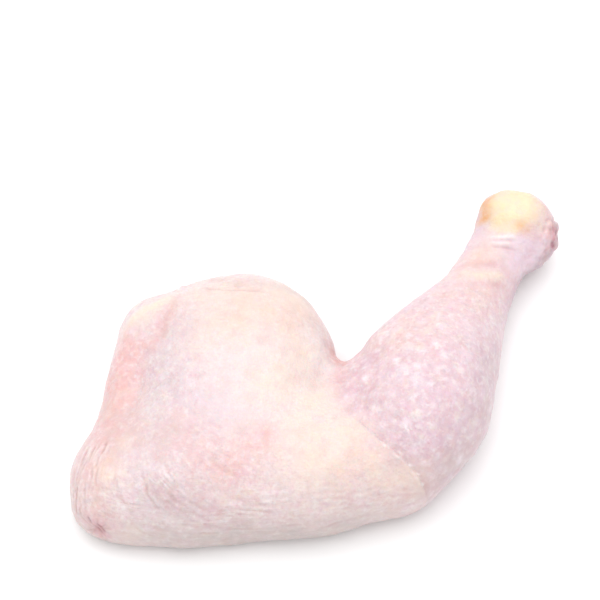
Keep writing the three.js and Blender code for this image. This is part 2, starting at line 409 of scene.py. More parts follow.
finder = KDTree(len(places))
for index, point in enumerate(places):
    finder.insert(point, index)
finder.balance()
for sort, where in zip(PIMPLES, (on_drumstick, on_drumstick, on_rump)):
    chance = np.random.default_rng(sort["seed"] + 50)
    for middle in scattered(where, sort["gap"], sort["seed"]):
        size = sort["size"] * chance.uniform(0.55, 1.45)
        share = where[middle] * chance.uniform(0.25, 1.25)
        found = finder.find_range(places[middle], size * PATCH_TAIL)
        some = np.array([f[1] for f in found])
        far = np.array([f[2] for f in found]) / size
        bump = bell(far, 1)
        lift[some] += sort["height"] * share * (bump - DIMPLE["depth"] * bell(far * DIMPLE["narrower"], 1))
        tint("pimple", np.minimum(1, sort["strength"] * share) * bump, some)

# THE ANKLE
# Skin slips down towards the hock in a few soft rings: a cream one where fat has gathered, pink between them, and a
# white fold with a sharp crease under it just below the knuckle. The sunk rings and the crease carry painted shade
# besides their own pink and mauve.
welt(
    [(49.8, 29.8, 25.6), (55, 28, 27), (59.5, 27.5, 27.2), (64, 28.4, 25.6), (67.5, 30.3, 23)], "butter", width=1.7,
    height=0.5, strength=0.72, share=0.2,
)
welt([(51.5, 34, 24.5), (56, 33, 26), (61, 32.8, 26.3), (66, 33.5, 25)], "blush_and_shade", width=2.0, height=-0.3, strength=0.48)
welt(
    [(52.5, 24.5, 27.5), (58, 23.8, 28), (62.5, 24.5, 26.2), (66.5, 26.5, 23)], "blush_and_shade", width=1.8, height=-0.25,
    strength=0.35,
)
welt(
    [(60.2, 45.4, 24.4), (62.5, 45.2, 25.5), (66.2, 44.4, 26.3), (70.6, 45, 26.2), (73.4, 44.4, 25.3)], "pale_skin_and_highlight",
    width=1.1, height=0.5, strength=0.5,
)
welt(
    [(61.5, 43.2, 24.9), (64.5, 42.4, 25.9), (68, 42.2, 26), (71.5, 42.4, 25)], "pale_skin_and_highlight", width=0.8, height=0.35,
    strength=0.42,
)
welt(
    [(61.5, 44.2, 24.9), (65, 43.4, 26), (69, 43.5, 26), (72, 43.4, 25)], "magenta", width=0.55, height=-0.22,
    strength=0.4,
)
welt(
    [(61.8, 42.4, 25.2), (64, 40.9, 25.9), (66.2, 40.7, 25.9), (70.5, 40.6, 24.6), (73, 40, 23)], "mauve_and_shade", width=0.65,
    height=-0.32, strength=0.45,
)
welt(
    [(59.5, 39.5, 24.6), (63, 37.8, 25.6), (67, 37.6, 25), (70.5, 37.8, 23)], "peach", width=1.0, height=0.25,
    strength=0.4,
)
# Painted mauve shade along the ankle's lower edge, where it turns from the light.
patch("mauve_and_shade", 0.4, 4.5, (72.5, 33, 17), (70, 27, 17), (75, 37, 15))
patch("mauve_and_shade", 0.9, 3.6, (74.5, 34.9, 14), (72.7, 31.5, 15), (71.3, 28.9, 15.5), (70.3, 26, 16), (69, 22, 16))
patch("apricot", 0.3, 3.5, (70.3, 35.2, 22.9), (72.8, 34.8, 19.9))
patch("blush_and_shade", 0.45, 4, (71, 34.8, 22), (73.5, 35.8, 19.5), (70, 30, 22))
patch(
    "orchid", 1, 4.6, (74.3, 45.3, 26.2), (77.4, 43.7, 23.8), (80.6, 43.1, 21.3), (71.6, 36.4, 22.3),
    (74.7, 36.5, 17.9), (77.9, 39.5, 17.3),
)
# Painted light: whiter patches about the folds below the knuckle, where the hock turns from the light.
patch(
    "white_and_painted_light", 0.8, 4.5, (62.5, 43, 25.3), (67, 42.5, 26), (71, 42, 25), (69.6, 39.3, 24.6), (70.3, 35.9, 23.1),
    (66, 38, 25.5),
)
patch("magenta", 0.25, 2.4, (77.4, 43.7, 23.8), (79.5, 45, 24))
patch("pale_skin_and_highlight", 0.2, 3, (76.5, 44, 24.5), (80, 43.4, 22))

# THE KNUCKLE
# The leg bone's end swells under skin stretched smooth and yellow over cartilage and fat, with a deeper orange rim that
# is partly painted shade, a paler crown that is partly a painted highlight, and painted orange shade in the dimple
# above the fold. Two condyles stand beside the cut on its outer side.
KNUCKLE = {"at": (71.2, 56.4), "half": (10.9, 10.3), "height": 0.9}
KNUCKLE_FOLD = {"at": 1.16, "width": 0.1, "depth": 0.3}  # the crease round it; at and width are shares of the half
KNUCKLE_RIM = {"at": 0.9, "width": 0.22, "strength": 0.85}  # the orange part of its edge
CONDYLES = [((84, 55.3, 24.5), 4.2, 0.55), ((83.5, 46.5, 22), 3.0, 0.4)]  # where, and how wide and high in mm

off_knuckle = np.hypot((x - KNUCKLE["at"][0]) / KNUCKLE["half"][0], (y - KNUCKLE["at"][1]) / KNUCKLE["half"][1])
off_knuckle = off_knuckle + 0.05 * waves(6, 21)
on_top = ramp(z, 12, 18)
lift += KNUCKLE["height"] * on_top * (1 - ramp(off_knuckle, 0.45, 1.2))
fold = bell(off_knuckle - KNUCKLE_FOLD["at"], KNUCKLE_FOLD["width"])
lift -= KNUCKLE_FOLD["depth"] * on_top * fold * (1 - ramp(x, 74, 82)) * ramp(y, 50, 56)
tint("yellow", on_top * (1 - ramp(off_knuckle, 0.75, 1.15)))
outer_rim = on_top * bell(off_knuckle - KNUCKLE_RIM["at"], KNUCKLE_RIM["width"])
tint("orange_and_shade", KNUCKLE_RIM["strength"] * outer_rim * (1 - ramp(x, 63, 69)) * ramp(y, 51, 55))
# Painted orange shade in the dimple between the knuckle and the fold below it.
patch("orange_and_shade", 0.6, 2.2, (74.2, 48.6, 28), (75.8, 47.4, 27.2))
patch("butter", 0.6, 3.2, (65.5, 47.7, 26.5), (69.1, 47, 27), (63.5, 50, 25.4))
# A paler gold over the crown, partly a painted highlight.
patch("pale_gold_and_highlight", 0.9, 5.5, (72, 55, 29.5), (76, 57, 29), (69, 58, 28))
patch("peach", 1, 4.5, (83.4, 55.2, 27.2), (84.4, 52.9, 26.6), (82.3, 50, 26.5), (81, 48, 26.8))
patch("blush_and_shade", 0.6, 2.8, (82.9, 56.6, 27.2), (84.8, 54.4, 26.3), (84.6, 50, 25))
patch("butter", 0.2, 3, (81.5, 48.5, 26.6), (82.4, 51.6, 27.4))
patch("magenta", 0.16, 3.2, (82.2, 54.6, 28), (80.4, 51.6, 28.6), (83.6, 52.6, 27.1))
for spot, size, height in CONDYLES:
    lift += height * dome(spot, size)

# THE HEEL
# The lower corner of the hock, where the shank's scaly skin was cut away: thin, purplish skin bunched over tendon,
# darkened with painted mauve, grey and purple shade towards its lower edge, where it turns from the light.
HEEL_BUMPS = [((84.3, 42.4, 15.5), 2.0, -1.0), ((82.6, 39.6, 13), 2.8, 0.9), ((78.5, 36.6, 11), 2.2, -0.5)]
SHRIVELLED = {"height": 0.28, "length": 3.2, "seed": 23}  # mm; the uneven skin beside the cut

patch("mauve_and_shade", 1, 5, (77.5, 37.5, 13.5), (81.2, 40, 14), (80, 38, 11), (77, 36, 9), (84.5, 42, 14))
patch("grey_and_shade", 0.6, 4.5, (79, 38.5, 14), (75, 35.5, 12), (84, 41.5, 12))
# Painted purple shade along the heel's lower edge.
patch("purple_shade", 0.45, 2.6, (85, 43.4, 16.6), (83.2, 41.6, 15.4), (80.6, 39.8, 13.4), (74.6, 34.6, 13.8))
patch("purple_shade", 0.5, 2.8, (72.8, 31.3, 14.8), (71.5, 28.7, 15.6), (70.4, 25.8, 16))
welt([(74.5, 41.5, 22), (78.5, 42.2, 21), (82.5, 42.6, 18)], "mauve_and_shade", width=1.0, height=-0.18, strength=0.2)
welt([(73, 37, 17), (77, 38.5, 18), (82, 40, 16)], None, width=1.2, height=0.3)
for spot, size, height in HEEL_BUMPS:
    lift += height * dome(spot, size)
near_cut = ramp(x, 79, 84) * (1 - ramp(y, 52, 57))
lift += SHRIVELLED["height"] * near_cut * waves(SHRIVELLED["length"], SHRIVELLED["seed"])

# THE CUT
# The foot was cut off through the hock joint. Skin rolls in at the rim round two knobs of wet cartilage with dark red
# flesh and clotted blood between them.
CUT = {"at": (88.1, 50.6, 18.1), "facing": (0.96, -0.18, 0.15), "across": 12.5, "height": 0.5, "uneven": 0.2}
CUT_EDGE = [(0.2, -4, 1.12), (-0.15, -3, 0.95)]  # a roll and a groove: mm high, mm in, and at what share of the radius
CUT_EDGE_WIDTH = 0.14  # a share of the radius too
KNOBS = {"at": [(88.5, 53.2, 20.6), (88.6, 48.2, 15.8)], "size": 3.0, "height": 0.6}
NOTCH = {"at": (87.6, 54.6, 24.2), "size": 3.2, "depth": 1.0}  # the nick above the upper knob

cut_facing = np.array(CUT["facing"]) / np.linalg.norm(CUT["facing"])
out = places - CUT["at"]
from_plane = out @ cut_facing
from_middle = np.linalg.norm(out - from_plane[:, None] * cut_facing, axis=1)
cut_radius = CUT["across"] / 2 + 0.5 * waves(4, 31)
on_cut = ramp(from_plane, -2.2, -0.6) * (1 - ramp(from_middle / cut_radius, 0.78, 1.02))
lift += CUT["height"] * on_cut + CUT["uneven"] * on_cut * waves(3.5, 33)
for height, depth, outward in CUT_EDGE:
    lift += height * ramp(from_plane, depth, -1) * bell(from_middle / cut_radius - outward, CUT_EDGE_WIDTH)
tint("flesh", on_cut)
for knob in KNOBS["at"]:
    far = np.linalg.norm(places - knob, axis=1) / KNOBS["size"]
    lift += KNOBS["height"] * np.exp(-(far**2.5))  # flatter on top than a bell
    tint("cartilage", np.exp(-((far / 0.9) ** 4)))
lift -= NOTCH["depth"] * dome(NOTCH["at"], NOTCH["size"])
patch("blood", 0.85, 1.25, (87.6, 51.6, 21.4), (87.4, 50, 21.3))
patch("blood", 0.9, 1.2, (86.4, 46.2, 19.6), (86.6, 46.4, 18.2))
patch("blood", 0.9, 1.5, (88.9, 50.8, 17))
patch("blood", 0.4, 1.0, (85.3, 49, 24.4), (86.6, 50.6, 23.2), (88, 52.4, 22.6), (88.6, 49.4, 19.6))
patch("red_flush_and_shade", 0.45, 2.4, (85.2, 48.2, 23.4), (85, 44.9, 19.5), (86.4, 51.6, 24))

# THE RUMP
# The thigh's loose end, where the leg was cut from the back. A soft roll lies along it, flushed pink below and creamy
# with fat at its upper end, and a shallow groove parts it from the thigh.
ROLL_LINE = [(-69, 11, 20.5), (-69.5, 3, 22.5), (-69.5, -6, 23), (-71.5, -16, 22), (-73.5, -26, 22.5), (-75, -35, 24)]
GROOVE_LINE = [
    (-52.4, 20.5, 26.8), (-53.5, 16.6, 28.6), (-54.3, 12.5, 29.9), (-55.6, 9, 30.3), (-56.9, 5.3, 30.4),
    (-58.2, 1.9, 29.9), (-60.7, -0.9, 28.3), (-63.6, -2.5, 26.1), (-65.4, -4.2, 24.8), (-66.7, -8.4, 23.6),
]

welt(ROLL_LINE, "blush_and_shade", width=9, height=0.25)
welt([(-74, 3, 17), (-75, -8, 17), (-76, -20, 17), (-80, -34, 18)], "blush_and_shade", width=9, height=0)
patch("blush_and_shade", 0.9, 9, (-74, -29, 22), (-71, -27, 24), (-77, -37, 23), (-70, -36, 28), (-79, -48, 24))
welt(GROOVE_LINE, "salmon", width=3.3, height=-0.22, strength=0.5, share=0.35)
welt([(-66.7, -8.4, 23.6), (-69, -16, 23), (-72, -24, 22.5)], "salmon", width=5, height=-0.1, strength=0.45)
welt(
    [(-64.5, -12, 25.5), (-66, -22, 26), (-68, -33, 28), (-68.5, -42, 29)], "blush_and_shade", width=4.5, height=-0.12,
    strength=0.7,
)
patch("salmon", 0.6, 6.5, (-71.5, 1.5, 20.9), (-69, -4, 23), (-70, -9, 22.8), (-71.5, -15, 22.2), (-75, -12, 17))
patch("salmon", 0.35, 6, (-73.8, -24.1, 21.7), (-74.8, -30.3, 22.6), (-75.8, -37.4, 25.4), (-77, -43.7, 26.8))
welt(
    [(-73, 4, 19.5), (-68.5, 10.5, 22.8), (-64.5, 13, 24.8), (-60, 14, 26.9), (-54.5, 18, 27.5)], "cream", width=4.0,
    height=1.2, share=0.42,
)
patch("cream", 0.9, 4, (-62.3, 9.2, 27.1), (-64, 11, 25), (-57, 18, 25.5))
patch("butter", 0.9, 3.6, (-60.2, 15, 26.3), (-64, 14.5, 24.6), (-57, 16.4, 27.2))
patch("butter", 0.4, 3, (-66.8, 12, 23.8))
patch("apricot", 0.6, 2.6, (-71.3, -17, 22.5), (-72.4, -20.5, 22.2), (-73.2, -24, 22))
patch("brown_and_shade", 0.45, 8, (-80, -45, 24), (-78, -38, 22), (-82, -52, 20))
patch(
    "brown_and_shade", 0.75, 8, (-75.5, -21.6, 20.6), (-71.3, -28.8, 23.5), (-72.7, -35.9, 26.2), (-68.1, -39.3, 29.5),
    (-53.7, -39.7, 34.3),
)

# THE TOP EDGE
# The far rim of the thigh, where the skin was cut along the back and its fatty edge has curled under in small
# ripples, with a fine crease or two beside it. The creases and the skin under the rim are darkened with painted shade.
EDGE_LINE = [(-52, 23.5, 23), (-47, 25, 24.8), (-41.2, 25.6, 26.4), (-35, 23, 29.6), (-28, 21, 31.4), (-20, 20.5, 30.5)]
EDGE_SHADE = [(-10, 22.5, 25), (-2, 19, 21)]  # where the shade under it goes on
FAT_BEADS = [(-51.8, 22.8, 25), (-50.5, 24.4, 24), (-50.4, 20, 27.8), (-48.7, 21.5, 27.3)]  # each 2 mm wide

chance = np.random.default_rng(41)
for spot in laid(smooth_line(EDGE_LINE))[2::4]:
    spot = spot + chance.normal(0, 0.8, 3)
    size = chance.uniform(1.3, 2.2)
    lift += chance.uniform(-0.35, 0.75) * dome(spot, size)
# Two fine creases beside the rim, sunk and darkened with painted brown shade.
welt(
    [(-45.4, 21.8, 28.1), (-38.4, 20.3, 30.9), (-31.1, 18.7, 32.8), (-23.9, 18.2, 32.9), (-19.3, 17.7, 32.4)], "brown_and_shade",
    width=0.7, height=-0.25, strength=0.5,
)
welt([(-40, 23.4, 28.4), (-33, 21.4, 31), (-26, 20.6, 31.4)], "brown_and_shade", width=0.7, height=-0.14, strength=0.3)
for bead in FAT_BEADS:
    lift += 0.55 * dome(bead, 1.1)
    tint("pale_skin_and_highlight", 0.6 * dome(bead, 1.0))
welt([(-43, 24, 27), (-36, 21.5, 30.2), (-30, 20, 31.8)], "cream", width=1.2, height=0.4, strength=0.8)
# Painted brown shade under the curled rim, going on past its end to EDGE_SHADE.
welt(
    np.vstack([np.array(EDGE_LINE) + (0, 1.5, -1.5), EDGE_SHADE]), "brown_and_shade", width=3.0, height=0, strength=0.6,
    share=0.1,
)

# THE NEAR SIDE AND THE RUMP CORNER
# Loose skin gathered under its own weight: long fine wrinkles along the side, others bending round the corner, and a
# pucker with a dark red heart where the skin was cut from the tail. Painted shade darkens the wrinkles and the creases
# round the pucker.
PUCKER = {"at": (-76.9, -65.7, 14.0), "reach": 2.6, "depth": 0.5}
PUCKER_RING = {"at": 4.6, "width": 1.8, "height": 0.2}  # mm; the skin drawn up round it
PUCKER_PLANE = ((0.62, -0.6, 0.5), (-0.35, 0.35, 0.87))  # two directions along the skin there
STREAKS = [
    # the dark lines in its heart
    [(-78.3, -64.4, 16), (-77.2, -65.5, 14.4), (-76.2, -66.3, 12.8), (-75.4, -66.9, 11.4)],
    [(-77.4, -64.2, 17.2), (-76.2, -65.4, 15.6), (-75, -66.2, 14)],
    [(-80.3, -61.8, 18), (-79.4, -63, 17), (-78.8, -64, 15.8)],
    [(-75.8, -65.8, 15), (-74.6, -66.6, 13.2)],
]
WRINKLE = {
    # points in a wrinkle, its length as a share of the guides', how it wanders, and how its width and depth vary
    "points": 14, "length": (0.12, 0.4), "wander": 0.012, "wider": (0.8, 1.5), "deeper": (0.5, 1.2),
    # the groove's tint is painted shade, and the paler shoulder is a painted highlight on the raised skin
    "shoulder": 0.5, "shoulder_highlight": 0.6,  # the skin raised beside it, and how much paler that is
}
WRINKLES = [
    # guide lines that the wrinkles run between, how many, how wide and deep in mm, and how much brown painted shade
    # lies in them
    {
        "from": [(-84.5, -60, 13), (-86, -54, 17.5), (-84, -46, 21), (-80, -38, 22)],
        "to": [(-77, -62, 20.5), (-76.5, -54, 25.6), (-75.5, -46, 27.6), (-73.5, -38, 27)],
        "count": 36, "width": 0.48, "depth": 0.19, "brown_and_shade": 0.62,
    },
    {
        "from": [
            (-72.3, -50.3, 28.9), (-71.5, -58.3, 26.3), (-67.2, -65.1, 20.8), (-59.1, -68.7, 14.4), (-45, -69.6, 11),
        ],
        "to": [
            (-53.4, -48.6, 33.4), (-49.9, -55.3, 31.8), (-43.1, -60.6, 28.9), (-31.4, -62.8, 25.5), (-15, -63.5, 23.7),
        ],
        "count": 44, "width": 0.5, "depth": 0.11, "brown_and_shade": 0.26,
    },
    {
        "from": [(-43, -69, 14), (-28, -68.5, 13), (-8, -67, 13), (12, -63, 15), (32, -56.5, 17)],
        "to": [(-36, -60, 29), (-18, -60.5, 28), (2, -58.4, 29), (19, -57, 26), (32, -54, 23)],
        "count": 50, "width": 0.55, "depth": 0.085, "brown_and_shade": 0.17,
    },
    {
        "from": [(-60, -30, 32), (-52, -40, 34.5), (-44, -50, 33.5), (-34, -58, 30.5)],
        "to": [(-44, -20, 36.5), (-38, -32, 37.5), (-30, -42, 36), (-20, -52, 34)],
        "count": 26, "width": 0.5, "depth": 0.08, "brown_and_shade": 0.12,
    },
    {
        "from": [(24, -47, 32), (30, -50.5, 28), (34, -53.5, 23)],
        "to": [(10, -54, 31), (16, -57, 27), (22, -58.5, 22)],
        "count": 10, "width": 0.5, "depth": 0.1, "brown_and_shade": 0.15,
    },
]

for group, sort in enumerate(WRINKLES):
    chance = np.random.default_rng(60 + group)
    one = smooth_line(sort["from"], 1.5)
    other = smooth_line(sort["to"], 1.5)
    for _ in range(sort["count"]):
        across = chance.uniform(0, 1)
        length = chance.uniform(*WRINKLE["length"])
        start = chance.uniform(-0.1, 1.1 - length)
        steps = np.clip(np.linspace(start, start + length, WRINKLE["points"]), 0, 1)
        drift = across + np.cumsum(chance.normal(0, WRINKLE["wander"], WRINKLE["points"]))
        on_one = one[(steps * (len(one) - 1)).astype(int)]
        on_other = other[(steps * (len(other) - 1)).astype(int)]
        path = on_one + (on_other - on_one) * np.clip(drift, 0, 1)[:, None]
        apart = np.linalg.norm(np.diff(path, axis=0), axis=1) > 0.3
        path = laid(smooth_line(path[np.r_[True, apart]]))
        width = sort["width"] * chance.uniform(*WRINKLE["wider"])
        some, gap, along = near(path, width * 4)
        depth = sort["depth"] * chance.uniform(*WRINKLE["deeper"])
        weight = fades(along, 0.35)
        groove, shoulder = bell(gap, width), bell(gap - 2 * width, width)
        lift[some] -= depth * weight * (groove - WRINKLE["shoulder"] * shoulder)
        # Painted shade darkens each groove, and a painted highlight lightens the raised skin beside it.
        tint("crease_shade", sort["brown_and_shade"] * chance.uniform(0.5, 1.3) * weight * groove, some)
        tint("pale_skin_and_highlight", WRINKLE["shoulder_highlight"] * sort["brown_and_shade"] * weight * shoulder, some)

# A group of short pale ridges where the skin bunches, with painted highlights on them and painted shade beside each,
# and the shallow hollow under it, painted in greyish-lilac shade.
RIDGES = {
    # the first one's top, the step to the next, from a top to the middle and the foot, and how long each is
    "first": (-59.6, -53.3, 31), "step": (1.25, 0.15, 0.22), "middle": (3.0, -2.9, -0.8), "foot": (6.2, -5.7, -1.9),
    "lengths": (0.55, 0.85, 1.0, 1.1, 0.95, 0.8, 0.5),
}
HOLLOW = {"at": [(-57, -58, 29), (-52, -60, 28.6), (-47, -61.5, 27.6), (-41, -62.5, 26.6)], "reach": 5.5, "depth": 0.14}

chance = np.random.default_rng(9)
for number, length in enumerate(RIDGES["lengths"]):
    top = RIDGES["first"] + (number + chance.uniform(-0.25, 0.25)) * np.array(RIDGES["step"])
    length *= chance.uniform(0.85, 1.1)
    middle = RIDGES["middle"] + chance.normal(0, 0.25, 3)
    foot = RIDGES["foot"] + chance.normal(0, 0.4, 3)
    ridge = np.array([top, top + length * middle, top + length * foot])
    welt(ridge, "pale_skin_and_highlight", width=chance.uniform(0.4, 0.6), height=0.28, strength=chance.uniform(0.2, 0.45), share=0.45)
    welt(ridge + (0.6, 0.08, 0.11), "crease_shade", width=0.4, height=-0.15, strength=chance.uniform(0.2, 0.4), share=0.45)
for dip in HOLLOW["at"]:
    lift -= HOLLOW["depth"] * dome(dip, HOLLOW["reach"])
# Painted greyish-lilac shade in the hollow.
patch("lilac_and_shade", 0.9, 7, (-60.1, -58.5, 28.5), (-54, -59.5, 28.6), (-48, -61, 28), (-41.6, -62.8, 26.6))
patch("grey_and_shade", 0.5, 6, (-56.7, -60.6, 27.5), (-51.7, -62.3, 26.7), (-46.7, -63.6, 25.5))
patch("butter", 0.45, 3.2, (-74.2, -47.5, 28), (-68.5, -40.5, 30.5), (-72.4, -52, 28))
patch(
    "cream", 0.7, 3.6, (-66.6, -68, 14), (-64, -67.8, 16.5), (-75.9, -49.7, 27.5), (-72.5, -47.4, 29),
    (-69.5, -51.3, 29.5), (-74, -53.4, 27.6),
)

# Between them the skin is finely gathered: how far each point is in from the leg's outline, and how far along it, lets
# the finish draw creases that follow the outline.
OUTLINE = [
    (-66, 22, 14), (-75, 4, 14), (-80, -18, 14), (-86, -40, 15), (-88, -53, 13), (-83, -64, 11), (-70, -69, 10),
    (-45, -70.5, 10), (-20, -69.5, 10), (12, -64.5, 12), (36, -56, 14), (50, -43, 14),
]
GATHERS_REACH = 46  # mm in from the outline

outline = smooth_line(OUTLINE, 4.0)
some, gap, along = near(outline, GATHERS_REACH)
across_creases = np.zeros(len(places))
along_creases = np.zeros(len(places))
across_creases[some] = gap
along_creases[some] = along * np.linalg.norm(np.diff(outline, axis=0), axis=1).sum()
inward = ramp(gap, 2, 6) * (1 - 0.75 * ramp(gap, 14, 26)) * (1 - ramp(gap, 34, 45))
onward = (0.45 + 0.55 * ramp(along, 0.16, 0.34)) * (1 - 0.7 * ramp(along, 0.72, 0.86))
gathered = np.zeros(len(places))
gathered[some] = inward * onward * (0.65 + 0.35 * waves(16, 88)[some])
tint("gathered", gathered * (1 - 0.6 * tints["drumstick"]))

far = np.linalg.norm(places - PUCKER["at"], axis=1)
lift -= PUCKER["depth"] * bell(far, PUCKER["reach"])
lift += PUCKER_RING["height"] * bell(far - PUCKER_RING["at"], PUCKER_RING["width"])
patch("magenta", 0.36, 3.0, PUCKER["at"], (-75.5, -66.8, 11.6), (-78.9, -63.4, 17.2))
patch("blush_and_shade", 0.62, 7, PUCKER["at"], (-76, -62, 18), (-81, -58, 18))
patch("apricot", 0.5, 5, (-79, -58, 22), (-83, -50, 20), (-76, -51, 27))
patch("rose", 0.5, 2.2, PUCKER["at"], (-75.2, -66.6, 12), (-78.4, -64.2, 16.2), (-75.6, -65.2, 16.6))
for streak in STREAKS:
    welt(streak, "blood", width=0.45, height=-0.3, strength=0.72, share=0.4)
chance = np.random.default_rng(77)
for turn in np.linspace(0, 2 * math.pi, 11)[:-1]:
    turn += chance.uniform(-0.25, 0.25)
    outward = np.dot((math.cos(turn), math.sin(turn)), PUCKER_PLANE)
    reach = chance.uniform(5, 10)
    path = [PUCKER["at"] + outward * reach * share for share in (0.15, 0.4, 0.7, 1)]
    welt(path, "crease_shade", width=0.5, height=-0.22, strength=0.5, share=0.3)

# THE UNDERSIDE
# The near side turns down into shade, and the leg lies on its inner side. Painted brown and grey shade darkens the near
# side towards the bottom, most in its middle third, and a fainter painted grey shade darkens the whole leg low down.
tint("brown_and_shade", 0.65 * (1 - ramp(z, 8, 25)) * (1 - ramp(y, -58, -40)) * (1 - 0.3 * ramp(x, 10, 45)))
middle_third = ramp(x, -70, -46) * (1 - ramp(x, 4, 30))
tint("grey_and_shade", 0.85 * (1 - ramp(z, 13, 26)) * (1 - ramp(y, -62, -52)) * middle_third)
tint("grey_and_shade", 0.35 * (1 - ramp(z, 2, 12)))

# THE PALE STREAKS
# Two short pale streaks over the calf, raised a little and painted as highlights: a longer one, and a shorter one
# beside it.
welt(
    [(27.5, -37.2, 36.8), (28.4, -38.8, 36.3), (29.8, -40.9, 35.5)], "pale_skin_and_highlight", width=0.45, height=0.25, strength=0.8,
    share=0.4,
)
welt([(29.4, -37.6, 36.9), (30.2, -39.2, 36.4)], "pale_skin_and_highlight", width=0.4, height=0.2, strength=0.6)

# THE SKIN, RAISED AND TINTED
# Fat and cartilage hide the pink mottling of the meat, and so do flushed and shaded skin in part. The points are moved
# by all the relief above, except on the flat underside, and the mesh keeps a number a point for each tint.
MOTTLING_HIDDEN_BY = {"salmon": 0.5, "brown_and_shade": 0.7, "grey_and_shade": 0.4}
FLAT_BELOW = 3  # mm
DEEPEST = 0.8  # mm of relief that the finish takes as 1

fatty = np.maximum.reduce([tints[name] for name in ("white_and_painted_light", "cream", "yellow", "cartilage")])
mottled = np.clip(1 - 0.75 * fatty, 0.2, 1) * (1 - 0.45 * ramp(y, 16, 26) * ramp(x, 40, 50))
for name, share in MOTTLING_HIDDEN_BY.items():
    mottled *= 1 - share * tints[name]

raised = ramp(z, 0, FLAT_BELOW)
moved = places + facing * (lift * raised)[:, None]
moved[:, 2] = np.maximum(moved[:, 2], 0)
put_points(skin_mesh, moved)

kept = dict(tints, mottled=mottled, relief=(lift - swell) * raised / DEEPEST)
kept.update(along_creases=along_creases * MM, across_creases=across_creases * MM)
for name, values in kept.items():
    stored = skin_mesh.attributes.new(name, "FLOAT", "POINT")
    stored.data.foreach_set("value", np.clip(values, -1, 1).astype(np.float32))

# THE SKIN'S FINISH
# Raw poultry skin: a moist, see-through hide over fat and meat, plucked and chilled. Light sinks in and comes back
# pink, so shadows are soft and warm, and a thin film of water gives broad, low highlights.
SKIN = {"tone": "#ebe9ea", "ior": 1.4, "roughness": 0.46, "wetter": 0.08, "drier": 0.06}
GLOW = {"weight": 0.35, "mm": 2.2, "by_colour": (1.0, 0.4, 0.25)}  # how far light travels inside, red the farthest
WATER = {"weight": 0.12, "roughness": 0.2}
THIGH_COLOUR = "#f1e1df"
DRUMSTICK_COLOUR = "#ecd3db"
# the colours of the painted shade in sunk lines and in the hollows of the gathers
SUNK_SHADE_COLOUR = "#cf9f9d"
GATHERS_SHADE_COLOUR = "#cfaeaa"
BLOTCHED = (0.55, 1.2)  # each tint's strength where its own blotches are weakest and strongest
PORES_APART = 1.1  # mm; coarser than real ones, as is the grain below, because those are too fine to show
GATHERS = {"along_creases": 11, "across_creases": 0.95}  # mm long, and mm apart
BUMPS = {"pores": 0.35, "grain": 0.35, "swell": 0.9, "gathers": 1.3}  # how strongly each one shapes the surface
BUMP = {"mm": 0.35, "strength": 0.85}
LAYERS = [
    # tint, its colour as seen on the leg, how much of it shows, and how many mm across its own blotches are
    ("white_and_painted_light", "#f2e4e6", 0.9, 7.0),
    ("cream", "#f8e8db", 0.95, 9.0),
    ("lilac_and_shade", "#e2d2d9", 0.8, 5.0),
    ("peach", "#f3d6cb", 0.8, 5.0),
    ("blush_and_shade", "#eec0bf", 0.75, 5.0),
    ("apricot", "#f4d2bd", 0.8, 6.0),
    ("mauve_and_shade", "#cfaebd", 0.75, 4.0),
    ("brown_and_shade", "#d3bcb4", 0.6, 6.0),
    ("grey_and_shade", "#c6bfbb", 0.75, 6.0),
    ("pimple", "#f8edf1", 0.9, 3.0),
    ("butter", "#faecd4", 1.0, 3.0),
    ("salmon", "#eeafa9", 0.8, 4.0),
    ("orchid", "#f9e1ed", 1.0, 3.0),
    ("rose", "#e68f9c", 0.8, 2.0),
    ("pale_skin_and_highlight", "#fffafa", 1.0, 3.0),
    ("crease_shade", "#c4a29f", 0.7, 2.0),
    ("yellow", "#f8e4bb", 1.0, 5.0),
    ("pale_gold_and_highlight", "#fbf0cf", 0.7, 4.0),
    ("orange_and_shade", "#efb47c", 1.0, 3.0),
    ("magenta", "#dfb0c6", 0.8, 2.5),
    ("red_flush_and_shade", "#d98078", 0.85, 3.0),
    ("purple_shade", "#ae95a5", 0.85, 1.6),
    ("flesh", "#cb8995", 0.85, 1.6),
    ("cartilage", "#e6d5d6", 0.8, 2.0),
    ("blood", "#7c2640", 0.9, 1.2),
]
MOTTLING = [
    # meat and small vessels show through in pink and grey blotches, and fat in pale ones: how many mm across, the
    # colour, where the noise begins to show it and where it shows in full, and how much
    (3.4, "#e6b6c0", 0.5, 0.72, 0.32),
    (7.0, "#f7eeee", 0.48, 0.7, 0.35),
    (5.1, "#ecc6b4", 0.52, 0.74, 0.28),
    (4.3, "#efc4dc", 0.5, 0.7, 0.3),
    (3.2, "#efe7c6", 0.52, 0.72, 0.28),
    (2.6, "#d0c5cb", 0.52, 0.74, 0.42),
    (1.5, "#d9abb4", 0.5, 0.75, 0.46),
    (1.9, "#fdf8f6", 0.5, 0.7, 0.5),
]
NOISES = {
    # mm across the lumps, their detail and roughness, and a shift in metres, so that no two are alike
    "grain": (0.6, 2.0, 0.5, 4.0),
    "swell": (2.4, 3.0, 0.55, 7.0),
    "film": (6.0, 3.0, 0.5, 9.0),
}
NOISES.update({name: (blotch, 3.0, 0.6, 0.31 * number) for number, (name, _, _, blotch) in enumerate(LAYERS)})
NOISES.update({shade: (size, 4.0, 0.6, size) for size, shade, *_ in MOTTLING})


def paint(colour):
    """A colour written as sRGB hex, turned to the linear colour that light works in."""
    parts = [int(colour[i : i + 2], 16) / 255 for i in (1, 3, 5)]
    return [p / 12.92 if p <= 0.04045 else ((p + 0.055) / 1.055) ** 2.4 for p in parts] + [1.0]


